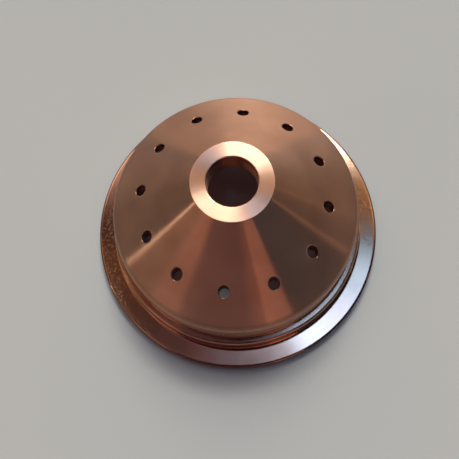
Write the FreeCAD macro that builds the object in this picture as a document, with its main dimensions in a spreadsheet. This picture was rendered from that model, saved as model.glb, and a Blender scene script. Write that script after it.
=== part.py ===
import FreeCAD, Part
import math
import os
import Sketcher

# Plasma shield cap: one turned copper piece, standing on its flange.
# Millimetres and degrees. The origin is the centre of the flange's underside,
# and +Z is the turning axis, towards the tip. The outside is turned first,
# then the hollow and the orifice are bored, the edges are dressed, and the
# vents are drilled through the cone parallel to the axis.

NODE = "shield_cap"

# Driving sizes: alias, value, what it measures.
SIZES = [
    ("overall_height", 17.5, "flange underside to tip face"),
    ("skirt_radius", 13.7, "outside of the upper skirt, below the cone"),
    ("ledge_width", 0.9, "how far the lower band stands out from the upper skirt"),
    ("ledge_height", 4.2, "flange underside to the ledge on top of the lower band"),
    ("flange_lip", 2.4, "how far the flange stands out from the lower band"),
    ("flange_thickness", 1.5, "axial thickness of the flange"),
    ("orifice_radius", 2.6, "bore through the tip"),
    ("tip_land", 1.6, "width of the flat ring round the orifice"),
    ("nose_thickness", 2.8, "axial length of the metal round the orifice"),
    ("cone_slope", 42.0, "slope of the cone's surface from level"),
    ("cone_wall", 1.5, "wall of the cone, square to its surface"),
    ("skirt_wall", 1.5, "wall of the upper skirt"),
    ("register_step", 0.8, "how much wider than the inner skirt the counterbore is"),
    ("register_depth", 3.4, "depth of the counterbore that centres the cap"),
    ("vent_radius", 0.6, "radius of one vent"),
    ("vent_inset", 3.7, "how far the circle of vents lies inside the skirt"),
    ("vent_count", 12, "number of vents"),
    ("vent_phase", 16.0, "direction of the first vent from +X"),
    ("shoulder_round", 1.4, "rounding between cone and skirt"),
    ("root_round", 0.45, "fillet between lower band and flange"),
    ("ledge_bevel", 0.2, "bevel at the outer corner of the ledge"),
    ("flange_bevel", 0.3, "bevel at the flange's two outer corners"),
    ("tip_bevel", 0.1, "bevel at the tip's outer corner"),
    ("orifice_bevel", 0.12, "bevel at both ends of the orifice"),
    ("register_bevel", 0.5, "lead-in at the mouth of the counterbore"),
]

# Places worked out from the driving sizes, as expressions on the sheet.
SLOPE = "(Sizes.cone_slope * 1 deg)"
BAND_R = "(Sizes.skirt_radius + Sizes.ledge_width)"
FLANGE_R = "(%s + Sizes.flange_lip)" % BAND_R
TIP_R = "(Sizes.orifice_radius + Sizes.tip_land)"
INNER_R = "(Sizes.skirt_radius - Sizes.skirt_wall)"
REGISTER_R = "(%s + Sizes.register_step)" % INNER_R
NOSE_Z = "(Sizes.overall_height - Sizes.nose_thickness)"

# The shoulder: where cone and skirt would meet, and how far along both of
# them the rounding reaches from there.
SHOULDER_Z = "(Sizes.overall_height - (Sizes.skirt_radius - %s) * tan(%s))" % (TIP_R, SLOPE)
REACH = "(Sizes.shoulder_round * tan(45 deg - %s / 2))" % SLOPE
SKIRT_TOP_Z = "(%s - %s)" % (SHOULDER_Z, REACH)
CONE_FOOT_R = "(Sizes.skirt_radius - %s * cos(%s))" % (REACH, SLOPE)
CONE_FOOT_Z = "(%s + %s * sin(%s))" % (SHOULDER_Z, REACH, SLOPE)

# The inner cone runs parallel to the outer one, so it lies lower by the wall
# over the cosine of the slope, and it ends in the level face under the nose.
DROP = "(Sizes.cone_wall / cos(%s))" % SLOPE
KNEE_Z = "(Sizes.overall_height - %s - (%s - %s) * tan(%s))" % (DROP, INNER_R, TIP_R, SLOPE)
NOSE_FLOOR_R = "(%s + (Sizes.nose_thickness - %s) / tan(%s))" % (TIP_R, DROP, SLOPE)

VENT_CIRCLE_R = "(Sizes.skirt_radius - Sizes.vent_inset)"
VENT_X = "(%s * cos(Sizes.vent_phase * 1 deg))" % VENT_CIRCLE_R
VENT_Y = "(%s * sin(Sizes.vent_phase * 1 deg))" % VENT_CIRCLE_R
ZERO = "0"

# How a sketch numbers its own axes, and the points of an edge. Its origin is
# the start of its X axis.
Y_AXIS, X_AXIS = range(-2, 0)
START, END, CENTRE = range(1, 4)
ORIGIN = (X_AXIS, START)


def sheet_of_sizes(doc):
    """Write the driving sizes into a spreadsheet and return it."""
    sheet = doc.addObject("Spreadsheet::Sheet", "Sizes")
    for row, (alias, value, meaning) in enumerate(SIZES, start=1):
        sheet.set("A%d" % row, alias.replace("_", " "))
        sheet.set("B%d" % row, str(value))
        sheet.set("C%d" % row, meaning)
        sheet.setAlias("B%d" % row, alias)
    doc.recompute()
    return sheet


def worked_out(body, expression):
    """Return the number that an expression on the sheet gives."""
    return float(body.evalExpression(expression))


def origin_feature(body, role):
    """Return the body's own origin plane or axis of that role."""
    for feature in body.Origin.OriginFeatures:
        if feature.Role == role:
            return feature
    raise RuntimeError("no origin feature " + role)


def new_sketch(body, name, role):
    """Add an empty sketch on one of the body's origin planes."""
    sketch = body.newObject("Sketcher::SketchObject", name)
    sketch.AttachmentSupport = [(origin_feature(body, role), "")]
    sketch.MapMode = "FlatFace"
    return sketch


def tie(sketch, name, constraint, expression):
    """Add a sketch size and bind it to an expression on the sheet."""
    index = sketch.addConstraint(constraint)
    sketch.renameConstraint(index, name)
    sketch.setExpression("Constraints." + name, expression)


def place_point(sketch, name, edge, point, place, values):
    """Hold one point of an edge at its place, an x and a y expression."""
    for axis, kind, expression, value in zip((Y_AXIS, X_AXIS), ("DistanceX", "DistanceY"), place, values):
        if expression is None:
            continue
        if expression == ZERO:
            sketch.addConstraint(Sketcher.Constraint("PointOnObject", edge, point, axis))
        else:
            size = Sketcher.Constraint(kind, *ORIGIN, edge, point, value)
            tie(sketch, name + kind[-1].lower(), size, expression)


def section(body, name, corners, arcs=None):
    """Draw a closed outline in the XZ plane and tie it to the sheet.

    Each corner has a name, an x and a z expression. An edge runs from each
    corner to the next: straight, level or upright where both corners share an
    expression, or an anticlockwise arc where arcs gives, under the name of the
    corner it starts from, the expressions of its centre and its radius."""
    sketch = new_sketch(body, name, "XZ_Plane")
    arcs = arcs or {}
    count = len(corners)
    values = [(worked_out(body, x), worked_out(body, z)) for _, x, z in corners]
    points = [FreeCAD.Vector(x, z, 0) for x, z in values]
    for i, (label, _, _) in enumerate(corners):
        start, end = points[i], points[(i + 1) % count]
        if label in arcs:
            centre = FreeCAD.Vector(*[worked_out(body, text) for text in arcs[label][:2]], 0)
            circle = Part.Circle(centre, FreeCAD.Vector(0, 0, 1), start.distanceToPoint(centre))
            edge = Part.ArcOfCircle(circle, circle.parameter(start), circle.parameter(end))
        else:
            edge = Part.LineSegment(start, end)
        sketch.addGeometry(edge, False)
    for i in range(count):
        sketch.addConstraint(Sketcher.Constraint("Coincident", i, END, (i + 1) % count, START))
    for i, (label, x, z) in enumerate(corners):
        _, x_before, z_before = corners[i - 1]
        if i > 0 and x == x_before:
            sketch.addConstraint(Sketcher.Constraint("Vertical", i - 1))
        if i > 0 and z == z_before:
            sketch.addConstraint(Sketcher.Constraint("Horizontal", i - 1))
        free_x = None if i > 0 and x == x_before else x
        free_z = None if i > 0 and z == z_before else z
        place_point(sketch, label, i, START, (free_x, free_z), values[i])
        if label in arcs:
            radius = arcs[label][2]
            size = Sketcher.Constraint("Radius", i, worked_out(body, radius))
            tie(sketch, label + "r", size, radius)
    return sketch


def circle_sketch(body, name, place, radius):
    """Draw one circle in the XY plane and tie it to the sheet."""
    sketch = new_sketch(body, name, "XY_Plane")
    values = [worked_out(body, text) for text in place]
    size = worked_out(body, radius)
    centre = FreeCAD.Vector(*values, 0)
    sketch.addGeometry(Part.Circle(centre, FreeCAD.Vector(0, 0, 1), size), False)
    place_point(sketch, "centre", 0, CENTRE, place, values)
    tie(sketch, "radius", Sketcher.Constraint("Radius", 0, size), radius)
    return sketch


def turned(doc, body, kind, name, sketch):
    """Turn a section once round the axis, adding or removing metal."""
    feature = body.newObject(kind, name)
    feature.Profile = sketch
    feature.ReferenceAxis = (sketch, ["V_Axis"])
    feature.Angle = 360
    doc.recompute()
    return feature


def drilled(doc, body, name, sketch):
    """Drill a circle right through the part, upwards from the XY plane."""
    before = body.Tip.Shape.Volume
    feature = body.newObject("PartDesign::Pocket", name)
    feature.Profile = sketch
    feature.Type = "ThroughAll"
    feature.Reversed = True
    doc.recompute()
    check_cut(before, feature)
    return feature


def check_cut(before, feature):
    """Stop if a cutting feature took nothing away."""
    if feature.Shape.Volume > before - 1e-3:
        raise RuntimeError(feature.Name + " removed no material")


def edges_at(shape, radius, height):
    """Name the circular edges of this radius round the axis at this height."""
    found = []
    for number, edge in enumerate(shape.Edges, start=1):
        curve = edge.Curve
        if not isinstance(curve, Part.Circle):
            continue
        off_axis = math.hypot(curve.Center.x, curve.Center.y)
        if max(abs(curve.Radius - radius), abs(curve.Center.z - height), off_axis) < 1e-4:
            found.append("Edge%d" % number)
    if not found:
        raise RuntimeError("no edge of radius %.3f at height %.3f" % (radius, height))
    return found


def dress(doc, body, kind, name, places, expression):
    """Round or bevel the circular edges at the given radii and heights."""
    base = body.Tip
    edges = []
    for radius, height in places:
        edges.extend(edges_at(base.Shape, worked_out(body, radius), worked_out(body, height)))
    feature = body.newObject(kind, name)
    feature.Base = (base, edges)
    size = "Radius" if kind == "PartDesign::Fillet" else "Size"
    feature.setExpression(size, expression)
    doc.recompute()
    body.Tip = feature


doc = FreeCAD.newDocument("PlasmaShieldCap")
sheet_of_sizes(doc)
body = doc.addObject("PartDesign::Body", NODE)
body.Label = NODE

# Outside: from the axis out to the flange, up the stepped skirt, round the
# shoulder, along the cone to the flat tip and back down the axis.
outside = section(body, "Outside", [
    ("base_centre", ZERO, ZERO),
    ("flange_foot", FLANGE_R, ZERO),
    ("flange_top", FLANGE_R, "Sizes.flange_thickness"),
    ("root", BAND_R, "Sizes.flange_thickness"),
    ("ledge_rim", BAND_R, "Sizes.ledge_height"),
    ("ledge_root", "Sizes.skirt_radius", "Sizes.ledge_height"),
    ("skirt_top", "Sizes.skirt_radius", SKIRT_TOP_Z),
    ("cone_foot", CONE_FOOT_R, CONE_FOOT_Z),
    ("tip_rim", TIP_R, "Sizes.overall_height"),
    ("tip_centre", ZERO, "Sizes.overall_height"),
], {"skirt_top": ("Sizes.skirt_radius - Sizes.shoulder_round", SKIRT_TOP_Z, "Sizes.shoulder_round")})
blank = turned(doc, body, "PartDesign::Revolution", "Blank", outside)

# Inside: counterbore, inner skirt, inner cone and the level face under the nose.
inside = section(body, "Inside", [
    ("base_centre", ZERO, ZERO),
    ("mouth", REGISTER_R, ZERO),
    ("register_top", REGISTER_R, "Sizes.register_depth"),
    ("register_shelf", INNER_R, "Sizes.register_depth"),
    ("knee", INNER_R, KNEE_Z),
    ("nose_floor", NOSE_FLOOR_R, NOSE_Z),
    ("nose_centre", ZERO, NOSE_Z),
])
hollow = turned(doc, body, "PartDesign::Groove", "Hollow", inside)
check_cut(blank.Shape.Volume, hollow)

# Orifice: a straight bore through the nose.
orifice_circle = circle_sketch(body, "OrificeCircle", (ZERO, ZERO), "Sizes.orifice_radius")
drilled(doc, body, "Orifice", orifice_circle)

# The fillet at the flange's root, and the bevelled edges.
dress(doc, body, "PartDesign::Fillet", "RootFillet",
      [(BAND_R, "Sizes.flange_thickness")], "Sizes.root_round")
dress(doc, body, "PartDesign::Chamfer", "LedgeBevel",
      [(BAND_R, "Sizes.ledge_height")], "Sizes.ledge_bevel")
dress(doc, body, "PartDesign::Chamfer", "FlangeBevels",
      [(FLANGE_R, "Sizes.flange_thickness"), (FLANGE_R, ZERO)], "Sizes.flange_bevel")
dress(doc, body, "PartDesign::Chamfer", "TipBevel",
      [(TIP_R, "Sizes.overall_height")], "Sizes.tip_bevel")
dress(doc, body, "PartDesign::Chamfer", "OrificeBevels",
      [("Sizes.orifice_radius", "Sizes.overall_height"), ("Sizes.orifice_radius", NOSE_Z)],
      "Sizes.orifice_bevel")
dress(doc, body, "PartDesign::Chamfer", "RegisterBevel",
      [(REGISTER_R, ZERO)], "Sizes.register_bevel")

# Vents: one drilled hole, repeated evenly round the cone.
vent_circle = circle_sketch(body, "VentCircle", (VENT_X, VENT_Y), "Sizes.vent_radius")
vent = drilled(doc, body, "Vent", vent_circle)
vents = body.newObject("PartDesign::PolarPattern", "Vents")
vents.Originals = [vent]
vents.Axis = (origin_feature(body, "Z_Axis"), [""])
vents.Angle = 360
vents.setExpression("Occurrences", "Sizes.vent_count")
body.Tip = vents
doc.recompute()
check_cut(vent.Shape.Volume, vents)

# Everything has to be sound before anything is written.
for item in doc.Objects:
    if "Invalid" in item.State or "Error" in item.State:
        raise RuntimeError(item.Name + " did not build")
whole = body.Shape
if whole.isNull() or not whole.isValid() or len(whole.Solids) != 1:
    raise RuntimeError("the cap is not one valid solid")
solid = whole.Solids[0]

os.makedirs("parts", exist_ok=True)
solid.exportStep("parts/" + body.Label + ".step")
print("volume %.2f mm3" % solid.Volume)
print("centre of mass height %.3f mm" % solid.CenterOfMass.z)
print("box %.3f x %.3f x %.3f mm" % (solid.BoundBox.XLength, solid.BoundBox.YLength, solid.BoundBox.ZLength))
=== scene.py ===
import math

import bmesh
import bpy
import numpy as np
from bpy.props import FloatProperty, FloatVectorProperty, IntProperty, PointerProperty
from mathutils import Matrix, Vector


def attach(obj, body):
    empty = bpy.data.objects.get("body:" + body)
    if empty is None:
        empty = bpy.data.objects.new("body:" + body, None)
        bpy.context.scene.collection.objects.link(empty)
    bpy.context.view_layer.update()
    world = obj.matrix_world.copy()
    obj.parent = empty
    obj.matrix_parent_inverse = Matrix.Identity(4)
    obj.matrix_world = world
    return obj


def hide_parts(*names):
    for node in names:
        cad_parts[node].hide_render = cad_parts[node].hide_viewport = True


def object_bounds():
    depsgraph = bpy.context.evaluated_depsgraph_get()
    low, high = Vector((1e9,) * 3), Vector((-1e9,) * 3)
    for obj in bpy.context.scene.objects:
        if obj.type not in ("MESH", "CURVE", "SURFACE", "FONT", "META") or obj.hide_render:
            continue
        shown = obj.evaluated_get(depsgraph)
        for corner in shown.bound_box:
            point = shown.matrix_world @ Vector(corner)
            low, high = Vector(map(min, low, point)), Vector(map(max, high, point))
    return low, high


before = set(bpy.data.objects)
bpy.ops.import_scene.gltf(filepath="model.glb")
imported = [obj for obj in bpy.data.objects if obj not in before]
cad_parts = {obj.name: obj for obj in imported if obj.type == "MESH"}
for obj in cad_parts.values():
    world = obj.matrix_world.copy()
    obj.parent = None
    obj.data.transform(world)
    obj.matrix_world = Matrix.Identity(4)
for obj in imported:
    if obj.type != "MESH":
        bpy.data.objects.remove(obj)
cad_low, cad_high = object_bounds()
MM = 0.001

bl_info = {
    "name": "Plasma Shield Cap",
    "version": (1, 0, 0),
    "blender": (4, 5, 0),
    "location": "View3D > Sidebar > Shield Cap",
    "description": "Builds a turned copper shield cap with its finish, and a plain stage for it",
    "category": "Object",
}


# Settings


def length_property(name, description, default):
    """A length, shown in the scene's unit."""
    return FloatProperty(name=name, description=description, default=default, unit="LENGTH")


def angle_property(name, description, degrees):
    """An angle, given in degrees."""
    return FloatProperty(name=name, description=description, default=math.radians(degrees), subtype="ANGLE")


def colour_property(name, description, default):
    """A colour with the usual range."""
    return FloatVectorProperty(name=name, description=description, default=default,
                               min=0, max=1, size=3, subtype="COLOR")


def share_property(name, description, default):
    """A number from zero to one."""
    return FloatProperty(name=name, description=description, default=default,
                         min=0, max=1, subtype="FACTOR")


class CapSizes(bpy.types.PropertyGroup):
    """Sizes of the cap. The height and the flange come from the bounds of model.glb."""

    height: length_property("Height", "Flange underside to tip face", cad_high[2] - cad_low[2])
    flange_radius: length_property("Flange radius", "Outside of the flange", cad_high[0])
    flange_thickness: length_property("Flange thickness", "Axial thickness of the flange", 1.5 * MM)
    band_radius: length_property("Band radius", "Outside of the skirt's lower band", 14.6 * MM)
    ledge_height: length_property("Ledge height", "Underside to the top of the lower band", 4.2 * MM)
    skirt_radius: length_property("Skirt radius", "Outside of the upper skirt", 13.7 * MM)
    tip_radius: length_property("Tip radius", "Outside of the flat tip ring", 4.2 * MM)
    cone_slope: angle_property("Cone slope", "Slope of the cone from level", 42)
    orifice_radius: length_property("Orifice radius", "Bore through the tip", 2.6 * MM)
    nose_thickness: length_property("Nose thickness", "Metal round the orifice, along the axis", 2.8 * MM)
    cone_wall: length_property("Cone wall", "Wall of the cone, square to its surface", 1.5 * MM)
    inner_radius: length_property("Inner radius", "Inside of the upper skirt", 12.2 * MM)
    register_radius: length_property("Register radius", "Counterbore at the mouth", 13.0 * MM)
    register_depth: length_property("Register depth", "Depth of the counterbore", 3.4 * MM)
    vent_radius: length_property("Vent radius", "Radius of one vent", 0.6 * MM)
    vent_circle: length_property("Vent circle", "Radius of the circle of vents", 10.0 * MM)
    vent_count: IntProperty(name="Vents", description="Number of vents", default=12)
    vent_phase: angle_property("Vent phase", "Direction of the first vent from +X", 16)
    shoulder_round: length_property("Shoulder rounding", "Rounding between cone and skirt", 1.4 * MM)
    root_round: length_property("Root fillet", "Fillet between lower band and flange", 0.45 * MM)
    edge_round: length_property("Edge rounding", "Rounding at the flange's upper corner", 0.3 * MM)
    ledge_round: length_property("Ledge rounding", "Rounding at the top of the lower band", 0.32 * MM)
    tip_round: length_property("Tip rounding", "Rounding round the outside of the tip ring", 0.25 * MM)
    vent_round: length_property("Vent rounding", "Rounding at the rim of each vent", 0.1 * MM)


class CapFinish(bpy.types.PropertyGroup):
    """Colours and finishes of the cap and of its stage."""

    copper: colour_property("Copper", "Bare turned copper", (0.52, 0.265, 0.17))
    # Painted shade on the vents' walls and the cap's inside.
    hollow_shade: colour_property("Dull copper", "Walls of the vents", (0.25, 0.13, 0.11))
    # Painted shade: the flange's thin side is made dark, standing in for the shadow it shows beside the floor.
    flange_side_shade: colour_property("Flange side", "Dark tarnish on the flange's thin side", (0.11, 0.07, 0.085))
    # Painted shade: the copper on the shoulder's rounding is darkened to this share.
    shoulder_shade: share_property("Shoulder tone", "Brightness of the copper on the shoulder's rounding", 0.72)
    tip_roughness: share_property("Tip roughness", "Finish of the flat tip ring", 0.3)
    cone_roughness: share_property("Cone roughness", "Finish of the cone", 0.25)
    wall_roughness: share_property("Wall roughness", "Finish of the skirt's upright wall", 0.28)
    ledge_roughness: share_property("Ledge roughness", "Finish of the lower band", 0.24)
    flange_roughness: share_property("Flange roughness", "Finish of the flange", 0.13)
    inner_roughness: share_property("Inner roughness", "Finish of the hidden inside", 0.5)
    wear: share_property("Wear", "Strength of the fine marks on the flange", 0.7)
    floor: colour_property("Floor", "Pale floor under the cap", (0.485, 0.462, 0.428))
    light: FloatProperty(name="Light", description="Strength of the soft lights", default=1.0, min=0)


# Shapes, worked out as whole arrays

# The vents lie in a strip of the cone this far to either side of their circle.
STRIP_REACH = 1.25 * MM
# Steps round each vent's sector and across the strip, and down each rim and wall.
SECTOR_STEPS = 36
STRIP_STEPS = 12
RIM_STEPS = 5
WALL_STEPS = 4
OUTER_ROWS = 14
INNER_ROWS = 8
INNER_VENT_ROUND = 0.05 * MM
LEAD_IN = 0.5 * MM


def rounded_profile(rows):
    """A polyline in the (radius, height) plane with its corners rounded.

    Each row holds a corner's radius and height, the radius of its rounding and
    the steps of its arc. At a corner whose edges stand at an angle a to each
    other, an arc of radius R touches both edges at R / tan(a / 2) from the
    corner, and its centre lies R / sin(a / 2) away, midway between them. A
    point just before and after each arc holds the shading flat beside it."""
    corners = np.array([row[:2] for row in rows])
    points = [corners[0]]
    for before, corner, after, row in zip(corners, corners[1:], corners[2:], rows[1:]):
        radius, count = row[2:]
        if radius <= 0:
            points.append(corner)
            continue
        back = (before - corner) / np.linalg.norm(before - corner)
        ahead = (after - corner) / np.linalg.norm(after - corner)
        half = math.acos(np.clip(back @ ahead, -1, 1)) / 2
        reach = radius / math.tan(half)
        centre = corner + (back + ahead) / np.linalg.norm(back + ahead) * radius / math.sin(half)
        start = corner + back * reach - centre
        end = corner + ahead * reach - centre
        turn = math.atan2(start[0] * end[1] - start[1] * end[0], start @ end)
        angle = np.linspace(0, turn, count + 1)[:, None]
        square = np.array([-start[1], start[0]])
        hold = min(0.12 * radius + 0.02 * MM, 0.2 * np.linalg.norm(before - corner))
        points.append(corner + back * (reach + hold))
        points.extend(centre + np.cos(angle) * start + np.sin(angle) * square)
        points.append(corner + ahead * (reach + hold))
    points.append(corners[-1])
    return np.array(points)


def ring_faces(rows, columns):
    """Quads between neighbouring rows of a grid of points that closes round."""
    row, column = np.meshgrid(np.arange(rows - 1), np.arange(columns), indexing="ij")
    right = (column + 1) % columns
    quads = np.stack([row * columns + column, row * columns + right,
                      (row + 1) * columns + right, (row + 1) * columns + column], -1)
    return quads.reshape(-1, 4)


def turned(profile, angles):
    """A profile of (radius, height) carried round the axis through the angles.

    A point of radius r and height h comes to (r cos t, r sin t, h) at angle t."""
    radius, height = profile[:, 0, None], profile[:, 1, None]
    points = np.stack([radius * np.cos(angles), radius * np.sin(angles), height + 0 * angles], -1)
    return points.reshape(-1, 3), ring_faces(len(profile), len(angles))


def vent_strip(sizes, surface, rounding, rows):
    """One sector of a conical strip with a round hole in the middle.

    Seen from above, the sector's border is a closed loop of points on two arcs
    and two radii. Each border point is joined to the rim of the hole along the
    line to the hole's centre, and rows of points lie between them, closer
    together near the rim. The height of each point is that of the cone there.
    The rim then turns over by a quarter circle of radius c: at angle t it goes
    in by c * sin t and down by c * (1 - cos t), or up where c is negative."""
    outer_edge = sizes.vent_circle + STRIP_REACH
    inner_edge = sizes.vent_circle - STRIP_REACH
    half = math.pi / sizes.vent_count
    arc = np.linspace(-half, half, SECTOR_STEPS + 1)[:-1]
    side = np.linspace(outer_edge, inner_edge, STRIP_STEPS + 1)[:-1]
    border_r = np.concatenate([np.full(SECTOR_STEPS, outer_edge), side,
                               np.full(SECTOR_STEPS, inner_edge), side[::-1] + inner_edge - side[-1]])
    border_a = np.concatenate([arc, np.full(STRIP_STEPS, half), -arc, np.full(STRIP_STEPS, -half)])
    border = np.stack([border_r * np.cos(border_a), border_r * np.sin(border_a)], -1)
    middle = np.array([sizes.vent_circle, 0.0])
    away = border - middle
    away /= np.linalg.norm(away, axis=1)[:, None]
    rim = middle + away * (sizes.vent_radius + abs(rounding))
    share = (np.linspace(0, 1, rows) ** 1.7)[::-1, None, None]
    flat = rim + (border - rim) * share
    flat_z = surface(np.linalg.norm(flat, axis=-1))
    steps = np.linspace(0, math.pi / 2, RIM_STEPS + 1)[1:, None, None]
    over = middle + away * (sizes.vent_radius + abs(rounding) * (1 - np.sin(steps)))
    over_z = surface(np.linalg.norm(over, axis=-1)) - rounding * (1 - np.cos(steps[..., 0]))
    plan = np.concatenate([flat, over])
    height = np.concatenate([flat_z, over_z])
    return np.concatenate([plan, height[..., None]], -1)


def repeated(sector, sizes):
    """Copies of a sector's grid of points, turned to each vent's direction."""
    turns = sizes.vent_phase + 2 * math.pi * np.arange(sizes.vent_count) / sizes.vent_count
    cos, sin = np.cos(turns)[:, None, None], np.sin(turns)[:, None, None]
    x, y, z = sector[..., 0], sector[..., 1], sector[..., 2]
    z = np.broadcast_to(z, (len(turns),) + z.shape)
    points = np.stack([cos * x - sin * y, sin * x + cos * y, z], -1).reshape(-1, 3)
    starts = np.arange(len(turns))[:, None, None] * x.size
    return points, (ring_faces(*x.shape)[None] + starts).reshape(-1, 4)


def joined(parts):
    """Several (points, faces) pairs of arrays as one pair."""
    starts = np.cumsum([0] + [len(points) for points, _ in parts[:-1]])
    points = np.concatenate([points for points, _ in parts])
    faces = np.concatenate([faces + start for (_, faces), start in zip(parts, starts)])
    return points, faces


def mesh_object(name, points, faces, material):
    """A smooth mesh object from arrays, with its seams merged and faces outwards."""
    mesh = bpy.data.meshes.new(name)
    mesh.from_pydata(points, [], faces)
    work = bmesh.new()
    work.from_mesh(mesh)
    bmesh.ops.remove_doubles(work, verts=work.verts, dist=0.0004 * MM)
    bmesh.ops.recalc_face_normals(work, faces=work.faces)
    work.to_mesh(mesh)
    work.free()
    mesh.polygons.foreach_set("use_smooth", np.ones(len(mesh.polygons), bool))
    mesh.materials.append(material)
    piece = bpy.data.objects.new(name, mesh)
    bpy.context.scene.collection.objects.link(piece)
    return piece


class CAP_OT_body(bpy.types.Operator):
    """Build the turned cap with its orifice, vents and rounded edges"""

    bl_idname = "cap.body"
    bl_label = "Cap body"

    def execute(self, context):
        s = context.scene.cap_sizes
        slope = math.tan(s.cone_slope)
        drop = s.cone_wall / math.cos(s.cone_slope)
        strip_in, strip_out = s.vent_circle - STRIP_REACH, s.vent_circle + STRIP_REACH

        def outer_cone(radius):
            return s.height - (radius - s.tip_radius) * slope

        def inner_cone(radius):
            return outer_cone(radius) - drop

        # Both profiles start and end at the strip that holds the vents. The
        # first goes from inside, over the tip, to the outside.
        nose_z = s.height - s.nose_thickness
        nose_floor = s.tip_radius + (s.nose_thickness - drop) / slope
        tip_side = rounded_profile([
            (strip_in, inner_cone(strip_in), 0, 0),
            (nose_floor, nose_z, 0.3 * MM, 3),
            (s.orifice_radius, nose_z, 0.12 * MM, 4),
            (s.orifice_radius, s.height, 0.12 * MM, 5),
            (s.tip_radius, s.height, s.tip_round, 5),
            (strip_in, outer_cone(strip_in), 0, 0)])
        # The second goes from outside, down the skirt and under the flange, to
        # the inside.
        skirt_side = rounded_profile([
            (strip_out, outer_cone(strip_out), 0, 0),
            (s.skirt_radius, outer_cone(s.skirt_radius), s.shoulder_round, 12),
            (s.skirt_radius, s.ledge_height, 0.28 * MM, 4),
            (s.band_radius, s.ledge_height, s.ledge_round, 6),
            (s.band_radius, s.flange_thickness, s.root_round, 7),
            (s.flange_radius, s.flange_thickness, s.edge_round, 7),
            (s.flange_radius, 0, 0.25 * MM, 5),
            (s.register_radius + LEAD_IN, 0, 0.08 * MM, 2),
            (s.register_radius, LEAD_IN, 0.08 * MM, 2),
            (s.register_radius, s.register_depth, 0.1 * MM, 2),
            (s.inner_radius, s.register_depth, 0.06 * MM, 2),
            (s.inner_radius, inner_cone(s.inner_radius), 0.3 * MM, 3),
            (strip_out, inner_cone(strip_out), 0, 0)])

        outer_strip = vent_strip(s, outer_cone, s.vent_round, OUTER_ROWS)
        inner_strip = vent_strip(s, inner_cone, -INNER_VENT_ROUND, INNER_ROWS)
        share = np.linspace(0, 1, WALL_STEPS + 1)[:, None, None]
        vent_wall = outer_strip[-1] * (1 - share) + inner_strip[-1] * share

        around = s.vent_count * SECTOR_STEPS
        angles = s.vent_phase + 2 * math.pi * np.arange(around) / around - math.pi / s.vent_count
        points, faces = joined([
            turned(tip_side, angles), turned(skirt_side, angles), repeated(outer_strip, s),
            repeated(inner_strip, s), repeated(vent_wall, s)])
        piece = mesh_object("cap", points, faces, turned_copper())
        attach(piece, "root")
        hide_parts("shield_cap")
        return {"FINISHED"}


# Nodes


def add_node(tree, kind, **settings):
    """A node of the kind, with its settings. in_2=5 puts 5 into its input 2."""
    node = tree.nodes.new(kind)
    for name, value in settings.items():
        if name.startswith("in_"):
            node.inputs[int(name[3:])].default_value = value
        else:
            setattr(node, name, value)
    return node


def feed(tree, value, socket):
    """Link an output to a socket, or put a plain value into it."""
    if isinstance(value, bpy.types.NodeSocket):
        tree.links.new(value, socket)
    else:
        socket.default_value = value


def math_node(tree, operation, first, second=0.0, third=0.0, clamp=False):
    """The output of a Math node. Its inputs are outputs or plain numbers."""
    node = add_node(tree, "ShaderNodeMath", operation=operation, use_clamp=clamp)
    for socket, value in zip(node.inputs, (first, second, third)):
        feed(tree, value, socket)
    return node.outputs[0]


def vector_node(tree, operation, vector, **settings):
    """A Vector Math node that works on a vector."""
    node = add_node(tree, "ShaderNodeVectorMath", operation=operation, **settings)
    feed(tree, vector, node.inputs[0])
    return node


def mix_node(tree, factor, first, second, **settings):
    """The output of a Mix node of two colours."""
    node = add_node(tree, "ShaderNodeMix", data_type="RGBA", **settings)
    for index, value in ((0, factor), (6, first), (7, second)):
        feed(tree, value, node.inputs[index])
    return node.outputs[2]


def ramp(tree, value, stops):
    """The output of a Color Ramp through the stops of (position, grey or colour)."""
    node = add_node(tree, "ShaderNodeValToRGB")
    band = node.color_ramp.elements
    while len(band) < len(stops):
        band.new(0.5)
    for element, (position, colour) in zip(band, stops):
        element.position = position
        element.color = (*colour, 1) if isinstance(colour, tuple) else (colour, colour, colour, 1)
    tree.links.new(value, node.inputs[0])
    return node.outputs[0]


def noise(tree, place, scale, detail, roughness):
    """The grey of a noise of so many cells a metre."""
    node = add_node(tree, "ShaderNodeTexNoise", in_2=scale, in_3=detail, in_4=roughness)
    tree.links.new(place, node.inputs["Vector"])
    return node.outputs["Fac"]


# Finishes

# The worn stretches of the flange: azimuth and reach to either side, in degrees.
WORN_STRETCHES = ((5, 24), (197, 42))
# The copper's colour is multiplied by these where the tarnish noise is at them.
TARNISH = ((0.38, (0.9, 0.885, 0.88)), (0.5, (1, 1, 1)), (0.62, (1.08, 1.11, 1.12)))
# How deep below the outer cone the walls of the vents, and their painted shade, start.
VENT_WALL_DEPTH = 0.12 * MM


def near_direction(tree, level, azimuth, reach):
    """One within reach degrees of an azimuth round the axis, fading to zero beyond."""
    azimuth, reach = math.radians(azimuth), math.radians(reach)
    unit = vector_node(tree, "NORMALIZE", level)
    aim = (math.cos(azimuth), math.sin(azimuth), 0)
    along = vector_node(tree, "DOT_PRODUCT", unit.outputs[0], in_1=aim)
    fade = add_node(tree, "ShaderNodeMapRange", in_1=math.cos(reach), in_2=math.cos(0.6 * reach))
    tree.links.new(along.outputs["Value"], fade.inputs[0])
    return fade.outputs[0]


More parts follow.
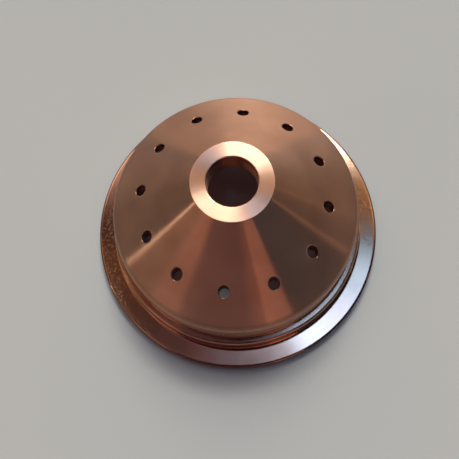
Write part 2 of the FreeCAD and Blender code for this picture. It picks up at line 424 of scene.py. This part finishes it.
def cap_zones(tree, level, height, s):
    """Outputs that tell the cap's zones apart.

    They are the distance from the axis as a share of the flange's radius, and
    masks of the inside, of the flange's side and of the vents' walls. A point
    at distance r from the axis and at height z is below the outer cone by what
    z + (r - tip radius) * tan(slope) lacks of the cap's height."""
    span = vector_node(tree, "LENGTH", level).outputs["Value"]
    share = math_node(tree, "DIVIDE", span, s.flange_radius)
    past_tip = math_node(tree, "MAXIMUM", math_node(tree, "SUBTRACT", span, s.tip_radius), 0.0)
    lifted = math_node(tree, "MULTIPLY_ADD", past_tip, math.tan(s.cone_slope), height)
    deep = math_node(tree, "LESS_THAN", lifted, s.height - 0.5 * s.cone_wall)
    near = math_node(tree, "LESS_THAN", span, s.register_radius + 0.05 * MM)
    inside = math_node(tree, "MULTIPLY", deep, near)
    # Where painted shade goes on the flange's side.
    rim = math_node(tree, "GREATER_THAN", span, 0.992 * s.flange_radius)
    side = math_node(tree, "MULTIPLY", rim, math_node(tree, "LESS_THAN", height, 0.95 * s.flange_thickness))
    # Where painted shade goes on the vents' walls and the inside.
    sunk = math_node(tree, "LESS_THAN", lifted, s.height - VENT_WALL_DEPTH)
    wide = math_node(tree, "GREATER_THAN", span, s.tip_radius)
    hole = math_node(tree, "MULTIPLY", math_node(tree, "MULTIPLY", sunk, near), wide)
    return share, inside, side, hole


def turned_copper():
    """Bare turned copper, each zone with the finish that its cut left.

    Turning marks run round the axis, so highlights are drawn out across them.
    The flange has fine wear on two stretches, and the copper a cloudy tarnish.
    Painted shade darkens the shoulder's rounding, the flange's side, and the
    vents' walls and the inside."""
    s = bpy.context.scene.cap_sizes
    look = bpy.context.scene.cap_finish
    material = bpy.data.materials.new("turned copper")
    material.use_nodes = True
    tree = material.node_tree
    shader = tree.nodes["Principled BSDF"]
    shader.inputs["Metallic"].default_value = 1.0
    shader.inputs["Anisotropic"].default_value = 1.0
    shader.inputs["Anisotropic Rotation"].default_value = 0.25
    tangent = add_node(tree, "ShaderNodeTangent", direction_type="RADIAL", axis="Z")
    tree.links.new(tangent.outputs["Tangent"], shader.inputs["Tangent"])
    place = add_node(tree, "ShaderNodeTexCoord").outputs["Object"]
    level = vector_node(tree, "MULTIPLY", place, in_1=(1, 1, 0)).outputs[0]
    parts = add_node(tree, "ShaderNodeSeparateXYZ")
    tree.links.new(place, parts.inputs[0])
    share, inside, side, hole = cap_zones(tree, level, parts.outputs["Z"], s)

    # Finish, by the distance from the axis
    tip = s.tip_radius / s.flange_radius
    skirt = s.skirt_radius / s.flange_radius
    shoulder = 0.955 * skirt
    band = s.band_radius / s.flange_radius
    zones = ramp(tree, share, [
        (tip - 0.007, look.tip_roughness), (tip + 0.003, look.cone_roughness),
        (shoulder, look.cone_roughness), (skirt, look.wall_roughness),
        (skirt + 0.004, look.ledge_roughness), (band + 0.001, look.ledge_roughness),
        (band + 0.016, look.flange_roughness)])
    finish = add_node(tree, "ShaderNodeMix", data_type="FLOAT", in_3=look.inner_roughness)
    tree.links.new(inside, finish.inputs[0])
    tree.links.new(zones, finish.inputs[2])

    # Wear on the flange
    flange = ramp(tree, share, [(band + 0.013, 0), (band + 0.021, 1)])
    worn = math_node(tree, "ADD", *[
        math_node(tree, "MULTIPLY", flange, near_direction(tree, level, *stretch))
        for stretch in WORN_STRETCHES], clamp=True)
    specks = ramp(tree, noise(tree, place, 3800, 1.5, 0.6), [(0.53, 0), (0.6, 1)])
    speckled = math_node(tree, "MULTIPLY", worn, specks)
    roughness = math_node(tree, "MULTIPLY_ADD", speckled, 0.1, finish.outputs[0])
    tree.links.new(roughness, shader.inputs["Roughness"])
    strength = math_node(tree, "MULTIPLY_ADD", worn, look.wear, 0.1)
    grain = math_node(tree, "MULTIPLY", strength, noise(tree, place, 6500, 2, 0.5))
    bump = add_node(tree, "ShaderNodeBump")
    bump.inputs["Strength"].default_value = 1.0
    bump.inputs["Distance"].default_value = 0.004 * MM
    tree.links.new(grain, bump.inputs["Height"])
    tree.links.new(bump.outputs["Normal"], shader.inputs["Normal"])

    # Colour, with painted shade
    copper = np.array(look.copper)
    cloud = noise(tree, place, 170, 4, 0.55)
    tarnish = ramp(tree, cloud, [(position, tuple(copper * tone)) for position, tone in TARNISH])
    # Painted shade darkens the shoulder's rounding.
    corner = ramp(tree, share, [
        (shoulder + 0.003, 1), (shoulder + 0.013, look.shoulder_shade),
        (skirt - 0.008, look.shoulder_shade), (skirt - 0.002, 1)])
    bright = mix_node(tree, 1.0, tarnish, corner, blend_type="MULTIPLY")
    # Painted shade: the flange's side and the vents' walls and inside take dark colours.
    painted_shade = mix_node(tree, side, (*look.hollow_shade, 1), (*look.flange_side_shade, 1))
    colour = mix_node(tree, math_node(tree, "MAXIMUM", side, hole), bright, painted_shade)
    tree.links.new(colour, shader.inputs["Base Color"])
    return material


# Painted shade: the floor darkens away from a point this far behind the axis,
# between these distances, to this share of its colour.
FLOOR_CENTRE = (0, 20 * MM, 0)
FLOOR_FADE = 200 * MM
FLOOR_SHADE_STOPS = ((0.27, 1.0), (0.6, 0.4))
# Painted light: the floor under the cap glows this colour.
PAINTED_UNDER_GLOW = (0.018, 0.0075, 0.0075)
FLOOR_HALF = 1.5


def paper_floor():
    """Plain pale matt floor, with painted shade that darkens it slowly away from the part.

    Under the cap it glows with painted light, standing in for the little light that
    the real copper's bright inside throws down, which the orifice and the vents show."""
    s = bpy.context.scene.cap_sizes
    pale = np.array(bpy.context.scene.cap_finish.floor)
    material = bpy.data.materials.new("pale floor")
    material.use_nodes = True
    tree = material.node_tree
    shader = tree.nodes["Principled BSDF"]
    shader.inputs["Roughness"].default_value = 1.0
    shader.inputs["Specular IOR Level"].default_value = 0.0
    shader.inputs["Emission Strength"].default_value = 1.0
    place = add_node(tree, "ShaderNodeTexCoord").outputs["Object"]
    away = vector_node(tree, "DISTANCE", place, in_1=FLOOR_CENTRE).outputs["Value"]
    share = math_node(tree, "DIVIDE", away, FLOOR_FADE)
    # Painted shade: darker further from the part.
    colour = ramp(tree, share, [(position, tuple(tone * pale)) for position, tone in FLOOR_SHADE_STOPS])
    tree.links.new(colour, shader.inputs["Base Color"])
    # Painted light: a faint glow on the floor under the cap.
    span = vector_node(tree, "LENGTH", place).outputs["Value"]
    glow = vector_node(tree, "SCALE", PAINTED_UNDER_GLOW)
    tree.links.new(math_node(tree, "LESS_THAN", span, s.inner_radius), glow.inputs["Scale"])
    tree.links.new(glow.outputs[0], shader.inputs["Emission Color"])
    return material


# Stage

# What the room gives off between the soft lights.
ROOM_COLOUR = (0.018, 0.01, 0.009)
# Each light's name, the azimuth and elevation of its middle, its half width,
# half height and softness, all in degrees, and its colour.
SOFT_LIGHTS = (
    ("window top", 71.5, 55.4, 11.5, 4.8, 1.5, (21.5, 23, 24)),
    ("window", 77.5, 45, 8.3, 9.9, 1.5, (7.7, 8.2, 7.5)),
    ("window head", 78, 63.3, 8, 2.6, 0.8, (6, 7.5, 9)),
    ("window edge", 62, 63.5, 3.5, 2.7, 0.6, (9, 12, 13)),
    ("back shelf", 112, 57, 10, 5.5, 1.5, (2.7, 2.5, 2.3)),
    ("right shelf", 36, 60, 6, 4, 1.5, (2.8, 2.3, 1.3)),
    ("sill", 84, 21, 33, 10.5, 2, (1.75, 1.25, 0.65)),
    ("ceiling lamp", 17, 78.5, 7.5, 6, 1, (0.5, 1.3, 2.9)),
    ("lamp side", 37, 78.2, 5.5, 5.8, 1, (1.0, 2.2, 3.7)),
    ("ceiling", 49, 82, 7.2, 4.5, 1.2, (0.88, 1.35, 2.35)),
    ("ceiling left", 131, 69, 9, 7, 3, (0.06, 0.025, 0.0)),
    ("zenith", 145, 80, 12, 6, 3, (0.1, 0.08, 0.09)),
    ("right side", 12, 12, 28, 8, 4, (0.14, 0.1, 0.07)),
    ("left side", 148, 12, 20, 8, 4, (0.13, 0.1, 0.07)),
    ("ceiling right", 55, 68, 5, 3, 1.5, (0.12, 0.08, 0.05)),
    ("back wall", 131, 45, 9, 14, 1, (0.95, 0.8, 0.7)),
    ("left wall", 165, 52, 9.5, 16.5, 2, (0.5, 0.36, 0.24)),
    ("door gap", 183, 16, 0.9, 7, 0.4, (4.7, 4.9, 4.4)),
    ("left corner", 203, 58, 3.5, 28, 1, (0.28, 0.22, 0.34)),
    ("left cupboard", 202, 29, 20, 13, 1, (0.55, 0.345, 0.2)),
    ("table edge", 242, 20, 35, 3, 3.5, (0.6, 0.16, 0.25)),
    ("hand", 288, 18, 8, 9.5, 1, (0.82, 0.43, 0.32)),
    ("sleeve", 277, 18, 5, 9.5, 5, (0.3, 0.13, 0.09)),
    ("right wall", 27, 44, 17, 13, 1, (0.36, 0.25, 0.15)),
    ("right strip", 345, 18, 1, 10, 0.7, (0.7, 0.5, 0.35)),
    ("right edge", 4, 18, 1, 10, 0.7, (0.35, 0.26, 0.2)),
)


def soft_light_group():
    """A node group that gives one soft rectangle of light as seen from the part.

    The direction is turned until the middle of the light lies along +X. Then
    Y / X and Z / X are the tangents of the angles across and up, and each is
    faded from one to zero round the light's edge."""
    tree = bpy.data.node_groups.new("soft light", "ShaderNodeTree")
    for name in ("Azimuth", "Elevation", "Half width", "Half height", "Softness"):
        tree.interface.new_socket(name, in_out="INPUT", socket_type="NodeSocketFloat")
    tree.interface.new_socket("Light", in_out="INPUT", socket_type="NodeSocketColor")
    tree.interface.new_socket("Light", in_out="OUTPUT", socket_type="NodeSocketColor")
    given = add_node(tree, "NodeGroupInput")
    result = add_node(tree, "NodeGroupOutput")
    direction = add_node(tree, "ShaderNodeTexCoord").outputs["Generated"]
    level = add_node(tree, "ShaderNodeVectorRotate", rotation_type="Z_AXIS")
    tree.links.new(direction, level.inputs["Vector"])
    tree.links.new(math_node(tree, "MULTIPLY", given.outputs["Azimuth"], -1.0), level.inputs["Angle"])
    facing = add_node(tree, "ShaderNodeVectorRotate", rotation_type="Y_AXIS")
    tree.links.new(level.outputs[0], facing.inputs["Vector"])
    tree.links.new(given.outputs["Elevation"], facing.inputs["Angle"])
    parts = add_node(tree, "ShaderNodeSeparateXYZ")
    tree.links.new(facing.outputs[0], parts.inputs[0])
    ahead = math_node(tree, "MAXIMUM", parts.outputs["X"], 0.001)
    amount = math_node(tree, "GREATER_THAN", parts.outputs["X"], 0.001)
    for axis, half in (("Y", "Half width"), ("Z", "Half height")):
        offset = math_node(tree, "ABSOLUTE", math_node(tree, "DIVIDE", parts.outputs[axis], ahead))
        fade = add_node(tree, "ShaderNodeMapRange", interpolation_type="SMOOTHSTEP")
        tree.links.new(offset, fade.inputs["Value"])
        outside = math_node(tree, "ADD", given.outputs[half], given.outputs["Softness"])
        inside = math_node(tree, "SUBTRACT", given.outputs[half], given.outputs["Softness"])
        tree.links.new(outside, fade.inputs["From Min"])
        tree.links.new(inside, fade.inputs["From Max"])
        amount = math_node(tree, "MULTIPLY", amount, fade.outputs[0])
    lit = vector_node(tree, "SCALE", given.outputs["Light"])
    tree.links.new(amount, lit.inputs["Scale"])
    tree.links.new(lit.outputs[0], result.inputs[0])
    return tree


def studio_world(scene):
    """Surround the part with soft lights, each set in its own direction."""
    world = bpy.data.worlds.new("studio")
    world.use_nodes = True
    tree = world.node_tree
    group = soft_light_group()
    total = add_node(tree, "ShaderNodeRGB").outputs[0]
    total.default_value = (*ROOM_COLOUR, 1)
    for name, azimuth, elevation, width, height, softness, colour in SOFT_LIGHTS:
        light = add_node(tree, "ShaderNodeGroup", node_tree=group, label=name)
        light.inputs["Azimuth"].default_value = math.radians(azimuth)
        light.inputs["Elevation"].default_value = math.radians(elevation)
        light.inputs["Half width"].default_value = math.tan(math.radians(width))
        light.inputs["Half height"].default_value = math.tan(math.radians(height))
        light.inputs["Softness"].default_value = math.tan(math.radians(softness))
        light.inputs["Light"].default_value = (*colour, 1)
        both = vector_node(tree, "ADD", total)
        tree.links.new(light.outputs[0], both.inputs[1])
        total = both.outputs[0]
    background = tree.nodes["Background"]
    tree.links.new(total, background.inputs["Color"])
    background.inputs["Strength"].default_value = scene.cap_finish.light
    scene.world = world


# The camera's focal length in pixels of the square picture and its distance in
# millimetres, its elevation and roll in degrees, and its shift across and up in
# millimetres, all fitted to the circles of the cap in the photograph.
PICTURE_WIDTH = 459
SENSOR_WIDTH = 36
CAMERA_FIT = (602.6, 75.588, 74.13, -8.356, 0.946, -0.027)


def photo_camera(scene):
    """Put the camera where the photograph was taken from.

    Back points from the part to the camera. The camera's right and up are
    turned about back by the roll, and the camera is moved along them until the
    part sits in the frame as in the photograph."""
    focal, distance, elevation, roll, across, along = CAMERA_FIT
    elevation, roll = math.radians(elevation), math.radians(roll)
    back = Vector((0, -math.cos(elevation), math.sin(elevation)))
    level = Vector((1, 0, 0))
    upright = back.cross(level)
    right = math.cos(roll) * level + math.sin(roll) * upright
    up = -math.sin(roll) * level + math.cos(roll) * upright
    place = (back * distance - right * across - up * along) * MM
    camera = bpy.data.objects.new("camera", bpy.data.cameras.new("camera"))
    camera.data.sensor_width = SENSOR_WIDTH
    camera.data.lens = focal / PICTURE_WIDTH * SENSOR_WIDTH
    camera.data.clip_start = 1 * MM
    camera.matrix_world = Matrix.Translation(place) @ Matrix((right, up, back)).transposed().to_4x4()
    scene.collection.objects.link(camera)
    scene.camera = camera


class CAP_OT_stage(bpy.types.Operator):
    """Lay the pale floor, set the lights and aim the camera"""

    bl_idname = "cap.stage"
    bl_label = "Stage"

    def execute(self, context):
        scene = context.scene
        scene.view_settings.view_transform = "Standard"
        corners = [(x * FLOOR_HALF, y * FLOOR_HALF, 0) for x, y in ((-1, -1), (1, -1), (1, 1), (-1, 1))]
        mesh = bpy.data.meshes.new("floor")
        mesh.from_pydata(corners, [], [(0, 1, 2, 3)])
        mesh.materials.append(paper_floor())
        floor = bpy.data.objects.new("floor", mesh)
        scene.collection.objects.link(floor)
        studio_world(scene)
        photo_camera(scene)
        return {"FINISHED"}


# Add-on


class CAP_PT_panel(bpy.types.Panel):
    """Lists the pieces, and their sizes and finishes"""

    bl_label = "Shield Cap"
    bl_space_type = "VIEW_3D"
    bl_region_type = "UI"
    bl_category = "Shield Cap"

    def draw(self, context):
        for operator in OPERATORS:
            self.layout.operator(operator.bl_idname)
        scene = context.scene
        for group, owner in ((CapSizes, scene.cap_sizes), (CapFinish, scene.cap_finish)):
            box = self.layout.box()
            for name in group.__annotations__:
                box.prop(owner, name)


OPERATORS = (CAP_OT_body, CAP_OT_stage)
CLASSES = (CapSizes, CapFinish, *OPERATORS, CAP_PT_panel)


def register():
    for cls in CLASSES:
        bpy.utils.register_class(cls)
    bpy.types.Scene.cap_sizes = PointerProperty(type=CapSizes)
    bpy.types.Scene.cap_finish = PointerProperty(type=CapFinish)


def unregister():
    del bpy.types.Scene.cap_finish
    del bpy.types.Scene.cap_sizes
    for cls in reversed(CLASSES):
        bpy.utils.unregister_class(cls)


def main():
    """Build the cap and its stage."""
    register()
    bpy.ops.cap.body()
    bpy.ops.cap.stage()


if __name__ == "__main__":
    main()
